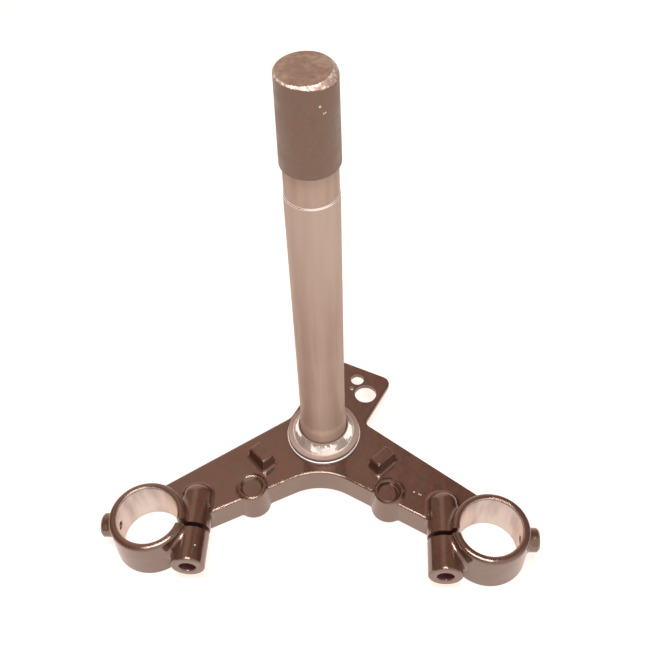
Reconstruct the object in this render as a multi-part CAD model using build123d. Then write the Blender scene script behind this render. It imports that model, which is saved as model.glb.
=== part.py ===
"""Lower triple clamp of a motorcycle: a cast yoke with its steering stem pressed in.

The stem axis is Z and the flat underside of the yoke is z = 0.  The fork clamps lie in front,
towards -Y, one on each side of the stem, and the steering-lock tab points back and to the right.
All sizes are in millimetres and degrees.
"""
from build123d import *
import os
from math import asin, atan2, cos, degrees, hypot, radians, sin, tan

# Sizes that the rest of the front end has to match
FORK_TUBE_D = 33.0
FORK_SPACING = 184.0
FORK_OFFSET = 62.0
STEM_D = 25.0

# Yoke plate: the arms' edges run inside the hub's edge and pass the fork axes at these distances
PLATE_THICKNESS = 17.5
HUB_MARGIN = 0.8
ARM_REAR_IN_HUB = 1.7
ARM_REAR_AT_FORK = 16.8
ARM_FRONT_IN_HUB = 1.9
ARM_FRONT_AT_FORK = 8.4
FRONT_NOTCH_R = 32.0
PLATE_EDGE_R = 0.8
UNDERSIDE_CHAMFER = 0.8

# Fork clamp rings
RING_WALL = 4.3
RING_HEIGHT = 26.7
RING_DRAFT = 1.0
RING_RIM_R = 2.0
BORE_CHAMFER = 0.5
CLAMP_FILLET_R = 2.0

# Pinch bosses: a round boss along Y beside each ring, cut through by the slit
BOSS_AXIS_Z = 14.1
PINCH_BOSS_D = 18.4
PINCH_BOSS_INSET = 23.9
PINCH_FRONT = 23.0
PINCH_BACK = 25.0
PINCH_DOME_R = 6.5
PINCH_FACE_CHAMFER = 0.6
PINCH_HOLE_D = 9.5
PINCH_TAP_D = 6.8
PINCH_TAP_DEPTH = 18.0
SLIT_WIDTH = 2.6
SLIT_OFFSET = 2.4

# Side bosses on the outer wall of each ring
SIDE_BOSS_D = 13.0
SIDE_BOSS_REACH = 5.4
SIDE_BOSS_CHAMFER = 1.2
SIDE_TAP_D = 5.0

# Round bosses on the front edge of the arms, each with a shallow dish on top; an arm's features are placed
# along it from the stem, and ahead of or behind the line to the fork axis
FRONT_BOSS_ALONG = 52.9
FRONT_BOSS_AHEAD = 9.95
FRONT_BOSS_D = 16.4
FRONT_BOSS_DRAFT = 4.5
FRONT_BOSS_RISE = 1.5
FRONT_BOSS_RIM_CHAMFER = 0.6
FRONT_BOSS_FOOT_CHAMFER = 0.6
DISH_D = 13.2
DISH_FLOOR_D = 10.4
DISH_DEPTH = 1.8

# Steering stop lugs, turned against the arm and placed inboard of the front bosses
LUG_INBOARD = 13.7
LUG_BEHIND = 3.25
LUG_TURN = 80.0
LUG_LENGTH = 14.6
LUG_WIDTH = 9.1
LUG_HEIGHT = 8.0
LUG_DRAFT = 8.5
LUG_CORNER_R = 1.4
LUG_EDGE_R = 0.6
LUG_FOOT_CHAMFER = 0.8
LUG_ROOT = 2.0

# Steering-lock tab, a thin plate level with the top of the arms
TAB_THICKNESS = 3.0
TAB_ANGLE = 26.0
TAB_WIDTH = 40.8
TAB_SHIFT = -2.35
TAB_REACH = 52.8
TAB_END_SKEW = 0.9
TAB_CORNER_R = 5.3
TAB_ROOT_RIGHT_R = 3.5
TAB_ROOT_LEFT_R = 9.0
LOCK_HOLE_D = 13.0
LOCK_HOLE_AT = (23.7, 29.3)
SMALL_HOLE_D = 8.0
SMALL_HOLE_AT = (18.5, 39.9)
PIN_HOLE_D = 2.8
PIN_HOLE_AT = (15.4, 33.3)

# Bearing cone on the stem's seat, and the dust seal that stands out below it
CONE_WALL = 7.35
CONE_HEIGHT = 9.0
CONE_RIM_HEIGHT = 2.6
CONE_SHELF = 2.9
CONE_TRACK_DIP = 0.25
CONE_LIP_WALL = 1.75
CONE_RIM_CHAMFER = 0.4
CONE_MOUTH_CHAMFER = 0.6
SEAL_OVERHANG = 0.6
SEAL_THICKNESS = 1.0

# Steering stem, a tube with a raised bearing seat at the bottom and a reduced, threaded end at the top
STEM_WALL = 4.5
STEM_SEAT_STEP = 0.75
STEM_SEAT_RISE = 7.2
STEM_LENGTH = 260.8
STEM_END_LENGTH = 58.1
STEM_END_STEP = 0.4
STEM_CHAMFER = 0.8

# Push-on cap over the stem's threaded end
CAP_LENGTH = 41.9
CAP_WALL = 1.2
CAP_TAPER = 0.5
CAP_CROWN = 1.7
CAP_CHAMFER = 1.0

# How far cutters run past the faces they open
CUT_MARGIN = 2.0

FORK_R = FORK_TUBE_D / 2
FORK_X = FORK_SPACING / 2
FORK_Y = -FORK_OFFSET
RING_R = FORK_R + RING_WALL
PINCH_X = FORK_X - PINCH_BOSS_INSET
PINCH_FRONT_Y = FORK_Y - PINCH_FRONT
SLIT_Y = FORK_Y - SLIT_OFFSET
ARM_LENGTH = hypot(FORK_X, FORK_Y)
ARM_HEADING = atan2(FORK_Y, FORK_X)
STEM_R = STEM_D / 2
SEAT_R = STEM_R + STEM_SEAT_STEP
END_R = STEM_R - STEM_END_STEP
CONE_R = SEAT_R + CONE_WALL
SEAL_R = CONE_R + SEAL_OVERHANG
HUB_R = SEAL_R + HUB_MARGIN
SEAL_TOP_Z = PLATE_THICKNESS + SEAL_THICKNESS
CONE_TOP_Z = SEAL_TOP_Z + CONE_HEIGHT
SEAT_TOP_Z = CONE_TOP_Z + STEM_SEAT_RISE
STEM_END_Z = STEM_LENGTH - STEM_END_LENGTH


def both_sides(shape):
    """The shape and its mirror image on the other side of the stem."""
    return [shape, mirror(shape, about=Plane.YZ)]


def turned(*points):
    """Face in the XZ plane from (radius, height) points, to be revolved about Z."""
    return make_face(Polyline(*((r, 0, z) for r, z in points), close=True))


def rounded(face, radius_and_height, fillet_r):
    """The same face with the corner nearest to (radius, height) rounded."""
    r, z = radius_and_height
    corner = face.vertices().sort_by_distance((r, 0, z))[0]
    return fillet(corner, fillet_r)


def joined(base, features, ease, size):
    """The base with the features fused on, and every seam between them eased by fillet or chamfer."""
    whole = base
    for feature in features:
        whole += feature
    seams = [e for e in new_edges(base, *features, combined=whole) if e.center().Z > UNDERSIDE_CHAMFER]
    return ease(seams, size)


def on_arm(along, ahead):
    """Placement on the underside of the right arm, this far along it and in front of its centre line."""
    across = Vector(sin(ARM_HEADING), -cos(ARM_HEADING))
    at = Vector(cos(ARM_HEADING), sin(ARM_HEADING)) * along + across * ahead
    return Pos(at.X, at.Y)


def tangent_edge(hub_offset, fork_offset, side):
    """A point and a direction of the line that passes the two axes at these distances.

    side is +1 for the rear edge of the right arm and -1 for its front edge.
    """
    heading = ARM_HEADING - side * asin((hub_offset - fork_offset) / ARM_LENGTH)
    direction = Vector(cos(heading), sin(heading))
    return Vector(-direction.Y, direction.X) * side * hub_offset, direction


def crossing(line, other):
    """Where two lines in plan, each a point and a direction, cross."""
    (p, u), (q, v) = line, other
    between = q - p
    along = (between.X * v.Y - between.Y * v.X) / (u.X * v.Y - u.Y * v.X)
    return p + u * along


def flipped(line):
    """The line's mirror image on the other side of the stem."""
    point, direction = line
    return Vector(-point.X, point.Y), Vector(-direction.X, direction.Y)


def rear_edge():
    """The rear edge of the right arm."""
    return tangent_edge(HUB_R - ARM_REAR_IN_HUB, ARM_REAR_AT_FORK, 1)


def arms_outline():
    """Plan of the hub and both arms, with the round notch between the arms in front."""
    rear = rear_edge()
    front = tangent_edge(HUB_R - ARM_FRONT_IN_HUB, ARM_FRONT_AT_FORK, -1)
    notch = crossing(front, flipped(front))
    tips = [point + direction * ARM_LENGTH for point, direction in (rear, front)]
    half = make_face(Polyline((0, 0), rear[0], *tips, notch, close=True))
    outline = half + mirror(half, about=Plane.YZ) + Circle(HUB_R)
    return fillet(outline.vertices().sort_by_distance(notch)[0], FRONT_NOTCH_R)


def tab_side(side):
    """The right (+1) or left (-1) edge of the tab as a point and a direction."""
    turn = radians(TAB_ANGLE)
    across = Vector(cos(turn), -sin(turn))
    return across * (TAB_SHIFT + side * TAB_WIDTH / 2), Vector(sin(turn), cos(turn))


def top_outline():
    """Plan of the arms with the tab: a strip out of the hub, turned towards the back right."""
    half = TAB_WIDTH / 2
    foot = -HUB_R / 2
    strip = make_face(Polyline(
        (-half, foot), (half, foot), (half, TAB_REACH + TAB_END_SKEW), (-half, TAB_REACH - TAB_END_SKEW),
        close=True))
    strip = fillet(strip.vertices().sort_by(Axis.Y)[-2:], TAB_CORNER_R)
    outline = arms_outline() + Rot(Z=-TAB_ANGLE) * Pos(X=TAB_SHIFT) * strip
    right_root = crossing(tab_side(1), rear_edge())
    left_root = crossing(tab_side(-1), flipped(rear_edge()))
    outline = fillet(outline.vertices().sort_by_distance(right_root)[0], TAB_ROOT_RIGHT_R)
    return fillet(outline.vertices().sort_by_distance(left_root)[0], TAB_ROOT_LEFT_R)


def plate():
    """Arms and hub at full thickness, and the thin tab, with one rounded edge all round the top."""
    tab = Pos(Z=PLATE_THICKNESS - TAB_THICKNESS) * extrude(top_outline(), TAB_THICKNESS)
    slab = extrude(arms_outline(), PLATE_THICKNESS) + tab
    return fillet(slab.faces().sort_by(Axis.Z)[-1].outer_wire().edges(), PLATE_EDGE_R)


def ring():
    """Outer wall of the right fork clamp: drafted, with a rounded top rim."""
    flare = RING_HEIGHT * tan(radians(RING_DRAFT)) / 2
    face = turned((0, 0), (RING_R + flare, 0), (RING_R - flare, RING_HEIGHT), (0, RING_HEIGHT))
    face = rounded(face, (RING_R, RING_HEIGHT), RING_RIM_R)
    return Pos(FORK_X, FORK_Y) * revolve(face, Axis.Z)


def pinch_boss():
    """Round boss along Y: flat at the front, domed where it sinks into the arm at the back."""
    r = PINCH_BOSS_D / 2
    length = PINCH_FRONT + PINCH_BACK
    face = turned((0, 0), (r - PINCH_FACE_CHAMFER, 0), (r, PINCH_FACE_CHAMFER), (r, length), (0, length))
    face = rounded(face, (r, length), PINCH_DOME_R)
    return Pos(PINCH_X, PINCH_FRONT_Y, BOSS_AXIS_Z) * Rot(X=-90) * revolve(face, Axis.Z)


def side_boss():
    """Round boss along X on the outer wall of the ring."""
    r = SIDE_BOSS_D / 2
    length = RING_WALL + SIDE_BOSS_REACH
    face = turned((0, 0), (r, 0), (r, length - SIDE_BOSS_CHAMFER), (r - SIDE_BOSS_CHAMFER, length), (0, length))
    return Pos(FORK_X + FORK_R, FORK_Y, BOSS_AXIS_Z) * Rot(Y=90) * revolve(face, Axis.Z)


def front_boss():
    """Drafted round boss that stands a little proud of the arm."""
    height = PLATE_THICKNESS + FRONT_BOSS_RISE
    r = FRONT_BOSS_D / 2
    ease = FRONT_BOSS_RIM_CHAMFER
    flare = tan(radians(FRONT_BOSS_DRAFT))
    face = turned((0, 0), (r + height * flare, 0), (r + ease * flare, height - ease), (r - ease, height), (0, height))
    return on_arm(FRONT_BOSS_ALONG, FRONT_BOSS_AHEAD) * revolve(face, Axis.Z)


def dish():
    """The shallow dish to be cut from the top of a front boss."""
    top = PLATE_THICKNESS + FRONT_BOSS_RISE
    face = turned((0, top), (0, top - DISH_DEPTH), (DISH_FLOOR_D / 2, top - DISH_DEPTH), (DISH_D / 2, top))
    return on_arm(FRONT_BOSS_ALONG, FRONT_BOSS_AHEAD) * revolve(face, Axis.Z)


def stop_lug():
    """Tapered block that meets the stop on the frame; its root is sunk into the plate."""
    spread = 2 * LUG_ROOT * tan(radians(LUG_DRAFT))
    root = RectangleRounded(LUG_LENGTH + spread, LUG_WIDTH + spread, LUG_CORNER_R + spread / 2)
    block = extrude(root, LUG_ROOT + LUG_HEIGHT, taper=LUG_DRAFT)
    block = fillet(block.faces().sort_by(Axis.Z)[-1].edges(), LUG_EDGE_R)
    foot = on_arm(FRONT_BOSS_ALONG - LUG_INBOARD, -LUG_BEHIND) * Pos(Z=PLATE_THICKNESS - LUG_ROOT)
    return foot * Rot(Z=degrees(ARM_HEADING) + LUG_TURN) * block


def drill(diameter, bottom, top):
    """Cutter for a plain hole along Z through everything between two heights."""
    return Pos(Z=(bottom + top) / 2) * Cylinder(diameter / 2, top - bottom + 2 * CUT_MARGIN)


def fork_bore():
    """Cutter for the right fork bore, with a chamfer at both mouths."""
    mouth = FORK_R + BORE_CHAMFER
    face = turned(
        (0, 0), (mouth, 0), (FORK_R, BORE_CHAMFER), (FORK_R, RING_HEIGHT - BORE_CHAMFER),
        (mouth, RING_HEIGHT), (0, RING_HEIGHT))
    return Pos(FORK_X, FORK_Y) * revolve(face, Axis.Z)


def clamp_cuts():
    """Slit, pinch-bolt hole with its blind tapped end, and tapped side hole of the right clamp."""
    slit_reach = PINCH_BOSS_INSET + PINCH_BOSS_D
    slit_box = Box(slit_reach, SLIT_WIDTH, RING_HEIGHT + 2 * CUT_MARGIN)
    slit = Pos(FORK_X - slit_reach / 2, SLIT_Y, RING_HEIGHT / 2) * slit_box
    from_front = Pos(PINCH_X, PINCH_FRONT_Y, BOSS_AXIS_Z) * Rot(X=-90)
    to_slit = SLIT_Y - PINCH_FRONT_Y
    grow = (Align.CENTER, Align.CENTER, Align.MIN)
    hole = from_front * Cylinder(PINCH_HOLE_D / 2, to_slit, align=grow)
    tap = from_front * Cylinder(PINCH_TAP_D / 2, to_slit + PINCH_TAP_DEPTH, align=grow)
    side_length = RING_R + SIDE_BOSS_REACH
    side = Pos(FORK_X, FORK_Y, BOSS_AXIS_Z) * Rot(Y=90) * Cylinder(SIDE_TAP_D / 2, side_length, align=grow)
    return [slit, hole, tap, side]


def tab_holes():
    """Through holes of the lock tab."""
    holes = ((LOCK_HOLE_D, LOCK_HOLE_AT), (SMALL_HOLE_D, SMALL_HOLE_AT), (PIN_HOLE_D, PIN_HOLE_AT))
    underside = PLATE_THICKNESS - TAB_THICKNESS
    return [Pos(*at) * drill(diameter, underside, PLATE_THICKNESS) for diameter, at in holes]


def lower_yoke():
    """The casting: plate, clamps, bosses and lugs in one, then everything that is machined."""
    clamps = both_sides(ring()) + both_sides(pinch_boss()) + both_sides(side_boss())
    body = joined(plate(), clamps, fillet, CLAMP_FILLET_R)
    body = joined(body, both_sides(front_boss()), chamfer, FRONT_BOSS_FOOT_CHAMFER)
    body = joined(body, both_sides(stop_lug()), chamfer, LUG_FOOT_CHAMFER)
    body = chamfer(body.faces().sort_by(Axis.Z)[0].outer_wire().edges(), UNDERSIDE_CHAMFER)
    for cutter in [fork_bore(), dish(), *clamp_cuts()]:
        for each in both_sides(cutter):
            body -= each
    for hole in tab_holes():
        body -= hole
    return body - drill(2 * SEAT_R, 0, PLATE_THICKNESS)


def dust_seal():
    """Plain thin washer on the yoke, round the stem's seat."""
    bottom, top = PLATE_THICKNESS, SEAL_TOP_Z
    return revolve(turned((SEAT_R, bottom), (SEAL_R, bottom), (SEAL_R, top), (SEAT_R, top)), Axis.Z)


def bearing_cone():
    """Lower bearing cone: a flat flange, a hollow-ground ball track and a lip round the stem."""
    rim_top = SEAL_TOP_Z + CONE_RIM_HEIGHT
    low = (CONE_R - CONE_SHELF, rim_top)
    high = (SEAT_R + CONE_LIP_WALL, CONE_TOP_Z)
    chord = Vector(high[0] - low[0], high[1] - low[1])
    inward = Vector(-chord.Y, chord.X).normalized() * CONE_TRACK_DIP
    middle = (low[0] + chord.X / 2 + inward.X, low[1] + chord.Y / 2 + inward.Y)
    track = ThreePointArc(*((r, 0, z) for r, z in (low, middle, high)))
    sides = Polyline(*((r, 0, z) for r, z in (
        high, (SEAT_R + CONE_MOUTH_CHAMFER, CONE_TOP_Z), (SEAT_R, CONE_TOP_Z - CONE_MOUTH_CHAMFER),
        (SEAT_R, SEAL_TOP_Z), (CONE_R, SEAL_TOP_Z), (CONE_R, rim_top - CONE_RIM_CHAMFER),
        (CONE_R - CONE_RIM_CHAMFER, rim_top), low)))
    return revolve(make_face([track, sides]), Axis.Z)


def steering_stem():
    """Hollow stem: seat, small step to the main diameter, and the reduced end at the top."""
    bore_r = STEM_R - STEM_WALL
    face = turned(
        (bore_r, 0), (SEAT_R - STEM_CHAMFER, 0), (SEAT_R, STEM_CHAMFER),
        (SEAT_R, SEAT_TOP_Z), (STEM_R, SEAT_TOP_Z + STEM_SEAT_STEP), (STEM_R, STEM_END_Z - STEM_END_STEP),
        (END_R, STEM_END_Z), (END_R, STEM_LENGTH - STEM_CHAMFER), (END_R - STEM_CHAMFER, STEM_LENGTH),
        (bore_r, STEM_LENGTH))
    return revolve(face, Axis.Z)


def thread_cap():
    """Soft cup pushed over the end of the stem, CAP_LENGTH of it along the stem."""
    mouth_r = END_R + CAP_WALL
    crown_r = mouth_r - CAP_TAPER
    mouth = STEM_LENGTH - CAP_LENGTH
    top = STEM_LENGTH + CAP_CROWN
    face = turned(
        (END_R, mouth), (mouth_r, mouth), (crown_r, top - CAP_CHAMFER), (crown_r - CAP_CHAMFER, top),
        (0, top), (0, STEM_LENGTH), (END_R, STEM_LENGTH))
    return revolve(face, Axis.Z)


def main():
    pieces = {
        "lower_yoke": lower_yoke(),
        "steering_stem": steering_stem(),
        "dust_seal": dust_seal(),
        "bearing_cone": bearing_cone(),
        "thread_cap": thread_cap(),
    }
    os.makedirs("parts", exist_ok=True)
    for name, piece in pieces.items():
        export_step(piece, f"parts/{name}.step")


if __name__ == "__main__":
    main()
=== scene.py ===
"""Looks of a motorcycle's lower triple clamp: painted yoke, steel stem, bearing cone, dust seal and cap.

All sizes are in metres in the frame of the CAD model: Z runs up the stem, the fork clamps lie towards -Y
and the floor is z = 0.
"""
from math import cos, radians, sin

import bpy
import numpy as np
from bpy.props import FloatProperty, FloatVectorProperty, IntProperty, PointerProperty
from mathutils import Matrix, Vector


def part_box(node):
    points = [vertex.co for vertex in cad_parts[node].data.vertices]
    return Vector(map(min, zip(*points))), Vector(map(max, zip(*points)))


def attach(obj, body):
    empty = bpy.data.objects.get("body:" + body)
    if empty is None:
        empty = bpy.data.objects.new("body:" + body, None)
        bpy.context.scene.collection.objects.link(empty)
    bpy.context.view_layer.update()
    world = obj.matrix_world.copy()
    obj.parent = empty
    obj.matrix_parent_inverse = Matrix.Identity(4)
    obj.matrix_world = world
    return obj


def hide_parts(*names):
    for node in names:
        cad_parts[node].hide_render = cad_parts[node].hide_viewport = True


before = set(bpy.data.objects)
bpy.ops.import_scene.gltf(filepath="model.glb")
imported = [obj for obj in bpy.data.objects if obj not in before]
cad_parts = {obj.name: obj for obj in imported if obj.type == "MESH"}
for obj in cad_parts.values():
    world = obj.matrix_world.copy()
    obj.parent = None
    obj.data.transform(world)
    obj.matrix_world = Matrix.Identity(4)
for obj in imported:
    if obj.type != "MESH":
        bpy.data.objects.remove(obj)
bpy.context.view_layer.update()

bl_info = {
    "name": "Triple Clamp Dressing",
    "version": (1, 0, 0),
    "blender": (4, 5, 0),
    "location": "View3D > Sidebar > Triple Clamp",
    "description": "Dresses a lower triple clamp with its paint, steel and cap, and sets up the studio",
    "category": "Object",
}

STEM_LOW, STEM_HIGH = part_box("steering_stem")
CONE_LOW, CONE_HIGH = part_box("bearing_cone")
SEAL_LOW, SEAL_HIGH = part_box("dust_seal")
CAP_LOW, CAP_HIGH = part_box("thread_cap")

# Points of a profile that are closer than this are one point
SAME_POINT = 1e-9

# Name of the paint, which the yoke and the lump share
PAINT_NAME = "yoke_gloss_paint"

# Centres and radii of the small pale dots, which are partly chips and partly painted glints
PAINT_CHIPS_AND_GLINTS = (((0.0521, -0.0372, 0.0175), 0.0006), ((0.0548, -0.0384, 0.0175), 0.0005),
               ((0.0557, -0.0389, 0.0175), 0.0005), ((-0.0641, -0.0762, 0.0224), 0.0006))
CAP_CHIPS_AND_GLINTS = (((0.0058, -0.0115, 0.2535), 0.0007), ((0.0071, -0.0108, 0.2500), 0.0005),
             ((0.0078, -0.0103, 0.2501), 0.0005))

# Noise patterns: scale, detail, the levels at which the mask is 0 and 1, and the factors along X, Y and Z
EVEN = (1.0, 1.0, 1.0)
PATTERNS = {
    "paint_mottle": (70.0, 4.0, 0.30, 0.70, EVEN),
    "paint_grit": (380.0, 2.0, 0.45, 0.65, EVEN),
    "paint_peel": (420.0, 2.0, 0.10, 0.90, EVEN),
    "paint_waves": (110.0, 1.0, 0.10, 0.90, EVEN),
    "bore_streaks": (180.0, 4.0, 0.35, 0.75, (1.0, 1.0, 0.25)),
    "stem_streaks": (320.0, 4.0, 0.35, 0.70, (1.0, 1.0, 0.06)),
    "stem_clouds": (45.0, 3.0, 0.35, 0.70, EVEN),
    "turning_marks": (5000.0, 2.0, 0.20, 0.80, (0.02, 0.02, 1.0)),
    "dark_band_teeth": (520.0, 2.0, 0.30, 0.70, (1.0, 1.0, 0.1)),
    "cone_smears": (260.0, 3.0, 0.40, 0.70, (1.0, 1.0, 0.4)),
    "cone_streaks": (380.0, 1.0, 0.20, 0.80, (1.0, 1.0, 0.5)),
    "seal_scratches": (500.0, 3.0, 0.45, 0.75, EVEN),
    "cap_clouds": (150.0, 5.0, 0.38, 0.62, EVEN),
    "cap_specks": (480.0, 4.0, 0.42, 0.72, EVEN),
    "cap_grain": (900.0, 2.0, 0.20, 0.80, EVEN),
    "rim_flecks": (520.0, 3.0, 0.44, 0.60, EVEN),
}

# Bumps: strength and depth
PAINT_BUMP = (0.16, 0.0006)
MOUTH_BUMP = (1.0, 1.0)
STEM_BUMP = (0.08, 0.0001)
CONE_BUMP = (0.5, 0.0002)
CAP_BUMP = (0.15, 0.0001)

# Samples for the eased edges of the paint
EDGE_SAMPLES = 6

# How much the patterns add to the roughness
MOTTLE_ROUGHNESS = 0.04
STREAK_ROUGHNESS = 0.12
SMEAR_ROUGHNESS = 0.06
SCRATCH_ROUGHNESS = 0.12
CLOUD_ROUGHNESS = 0.12

# How much a pattern counts in what it is mixed into
PEEL_SHARE = 0.35
STAIN_SHARE = 0.4
DARK_BAND_SHARE = 0.9
CLOUD_SHARE = 0.8
SPECK_SHARE = 0.7

# Where the cone's soft masks start and end: above the track's foot, outside the lip and the seat, above the
# underside (both ending the painted shade in the gaps), above the painted dark band's edge and in front of
# its side
TRACK_FADE = (0.0001, 0.0005)
LIP_FADE = (-0.0001, 0.0003)
SEAT_SHADE_FADE = (0.0003, 0.0007)
UNDER_SHADE_FADE = (0.0007, 0.0013)
DARK_BAND_FADE = (-0.0002, 0.0002)
DARK_BAND_SIDE_FADE = (0.0, 0.002)

# The same for the cap's paler top, which is painted light, as heights from its highest point
CAP_LIT_TOP_FADE = (-0.0006, -0.0001)

# The wear between which the rim's pale flecks (partly painted highlights) appear, and the share of a dot's
# radius over which it ends
FLECK_FADE = (0.2, 1.0)
DOT_FADE = (0.5, 1.0)

# Waves round the cap whose product gives the rim's nicks, each with its number in a turn and its phase
NICK_WAVES = ((17, 0.6), (31, 1.9))

# Powers that gather the cap's wear at its worn side, and in front, where it is partly a painted highlight
WORN_POWER = 4
FRONT_GLINT_POWER = 3

# Glows of the room, each laid over the ones before: setting, direction, and where it starts and is full,
# as the cosine of the angle from its direction
GLOWS = (("room", (-0.35, 0.20, 0.92), -0.1, 0.5),
         ("ceiling_light", (-0.22, 0.50, 0.84), 0.94, 1.0),
         ("back_light", (-0.30, 0.93, 0.20), 0.7, 0.95),
         ("front_light", (0.46, -0.77, 0.44), 0.35, 1.0))


# Settings

def size_setting(label, says, default):
    """A length in metres."""
    return FloatProperty(name=label, description=says, default=default, min=0.0, precision=5, unit="LENGTH")


def share_setting(label, says, default):
    """A number from 0 to 1."""
    return FloatProperty(name=label, description=says, default=default, min=0.0, max=1.0, subtype="FACTOR")


def number_setting(label, says, default):
    """A plain number."""
    return FloatProperty(name=label, description=says, default=default, min=0.0)


def colour_setting(label, says, default):
    """A linear colour."""
    return FloatVectorProperty(name=label, description=says, default=default, size=3, min=0.0, max=1.0,
                               subtype="COLOR")


def count_setting(label, says, default):
    """A whole number of steps."""
    return IntProperty(name=label, description=says, default=default, min=8)


def angle_setting(label, says, degrees):
    """An angle, given in degrees."""
    return FloatProperty(name=label, description=says, default=radians(degrees), subtype="ANGLE")


def place_setting(label, says, default):
    """A point in metres."""
    return FloatVectorProperty(name=label, description=says, default=default, size=3, subtype="XYZ",
                               unit="LENGTH")


class YokeSettings(bpy.types.PropertyGroup):
    """Paint of the casting and bare metal of the fork bores."""
    paint_dark: colour_setting("Dark paint", "Colour of the darker blotches", (0.046, 0.018, 0.015))
    paint_light: colour_setting("Light paint", "Colour of the lighter blotches", (0.066, 0.027, 0.021))
    paint_grit: colour_setting("Paint grit", "Colour of the fine specks in the paint", (0.038, 0.034, 0.022))
    paint_tint: colour_setting("Paint sheen", "Tint of the reflections in the paint", (1.0, 0.76, 0.64))
    paint_index: number_setting("Paint gloss", "Index of refraction of the gloss paint", 2.45)
    paint_roughness: share_setting("Paint roughness", "Roughness of the gloss paint", 0.11)
    bore_light: colour_setting("Bore", "Colour of the machined fork bores", (0.65, 0.605, 0.57))
    bore_dark: colour_setting("Bore stains", "Colour of the stains in the fork bores", (0.475, 0.42, 0.39))
    bore_roughness: share_setting("Bore roughness", "How much rougher a bore is than the paint", 0.28)
    bore_metal: share_setting("Bore metal", "How metallic a bore looks", 0.85)
    # The pale dots are partly primer in chips and partly painted glints
    primer_and_glint: colour_setting("Primer", "Colour under the chipped paint", (0.75, 0.69, 0.65))
    # The pinch holes only get a paler colour inside
    hole_paler: colour_setting("Thin paint", "Colour of the paint in the pinch holes", (0.18, 0.088, 0.092))
    fork_x: size_setting("Fork side", "Distance of a fork axis from the stem, sideways", 0.092)
    fork_y: size_setting("Fork offset", "Distance of a fork axis from the stem, forwards", 0.062)
    bore_radius: size_setting("Bore radius", "Outer radius of the bare metal in a fork bore", 0.01702)
    mouth_radius: size_setting("Mouth radius", "Radius at which the mouth of a fork bore starts", 0.018)
    mouth_curve: number_setting("Mouth curve", "How fast a mouth falls, per metre from its start", 170.0)
    hole_x: size_setting("Hole side", "Distance of a pinch hole from the stem, sideways", 0.0681)
    hole_z: size_setting("Hole height", "Height of a pinch hole's axis", 0.0141)
    hole_radius: size_setting("Hole radius", "Radius inside which the paint is thin", 0.0049)
    hole_depth: size_setting("Hole depth", "Distance of the holes' inner ends from the stem, forwards", 0.047)
    edge_radius: size_setting("Edge radius", "Radius that the paint gives to the edges", 0.0016)
    tab_y: size_setting("Tab", "Distance of the sharp lock tab from the stem, backwards", 0.02)
    slit_y: size_setting("Slit", "Distance of the clamps' slits from the stem, forwards", 0.06445)
    slit_reach: size_setting("Slit edges", "Distance from a slit within which edges stay sharp", 0.0025)
    slit_x: size_setting("Slit side", "Distance of the slits' outer ends from the stem, sideways", 0.085)
    dish_x: size_setting("Dish side", "Distance of a front boss's dish from the stem, sideways", 0.03831)
    dish_y: size_setting("Dish", "Distance of a front boss's dish from the stem, forwards", 0.03782)
    dish_radius: size_setting("Dish radius", "Radius inside which the dish's edges stay sharp", 0.0060)
    sharp_reach: size_setting("Sharp rim", "How much further the sharp edges reach on the right boss", 0.0026)


class LumpSettings(bpy.types.PropertyGroup):
    """Shape of the lump of casting in the dish of the right front boss."""
    x: size_setting("Side", "Distance of the lump's top from the stem, sideways", 0.0372)
    y: size_setting("Offset", "Distance of the lump's top from the stem, forwards", 0.0398)
    side: size_setting("Half width", "Half of the lump's width", 0.0061)
    back: size_setting("Back", "Length of the lump from its top backwards", 0.0072)
    front: size_setting("Front", "Length of the lump from its top forwards", 0.0056)
    foot: size_setting("Foot", "Height of the dish's floor", 0.0172)
    rise: size_setting("Rise", "Height of the lump above the dish's floor", 0.00205)
    sunk: size_setting("Sunk", "How far the lump reaches into the casting", 0.0005)
    flat: share_setting("Flat top", "Share of the lump that is flat at the back and the sides", 0.74)
    flat_front: share_setting("Flat front", "How much more of it is flat in front", 0.11)
    around: count_setting("Segments", "Segments round the lump", 72)
    rings: count_setting("Rings", "Rings from the outline to the top", 41)


class StemSettings(bpy.types.PropertyGroup):
    """Shape and steel of the stem."""
    radius: size_setting("Radius", "Radius of the shaft", 0.0125)
    seat_radius: size_setting("Seat radius", "Radius of the bearing seat", STEM_HIGH.x)
    end_radius: size_setting("End radius", "Radius of the reduced end", 0.0121)
    bore_radius: size_setting("Bore radius", "Radius of the bore", 0.008)
    seat_top: size_setting("Seat top", "Height at which the bearing seat starts to narrow", 0.0343)
    seat_fade: size_setting("Seat fade", "Height over which the seat narrows to the shaft", 0.0035)
    seat_ease: share_setting("Seat ease", "Radius of the narrowing's corners, as a share of its height", 0.4)
    end_height: size_setting("End height", "Height at which the reduced end starts", 0.2027)
    chamfer: size_setting("Chamfer", "Chamfer at both ends", 0.0008)
    edge: size_setting("Edge", "Radius of the small edges", 0.00015)
    around: count_setting("Segments", "Segments round the stem", 160)
    steel: colour_setting("Steel", "Colour of the satin steel", (0.565, 0.425, 0.343))
    # The bright step is a polished edge whose near-white colour is also a painted highlight
    bright: colour_setting("Bright step", "Colour of the bare step below the reduced end", (0.96, 0.93, 0.91))
    stain: colour_setting("Stain", "Colour of the darker streaks", (0.485, 0.362, 0.287))
    # The steel only turns paler towards the top of the stem, between two heights
    paler_high_steel: colour_setting("Upper seat", "Colour of the steel at the upper bearing", (0.605, 0.482, 0.401))
    paler_start: size_setting("Upper seat start", "Height at which the steel starts to get cleaner", 0.12)
    paler_full: size_setting("Upper seat height", "Height at which the steel is cleanest", 0.185)
    roughness: share_setting("Roughness", "Roughness of the satin steel", 0.5)
    step_polish: share_setting("Step polish", "How much smoother the bare step is", 0.35)
    metal: share_setting("Metal", "How metallic the satin steel looks", 0.3)
    step_metal: share_setting("Step metal", "How metallic the bare step looks", 0.9)


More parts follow.
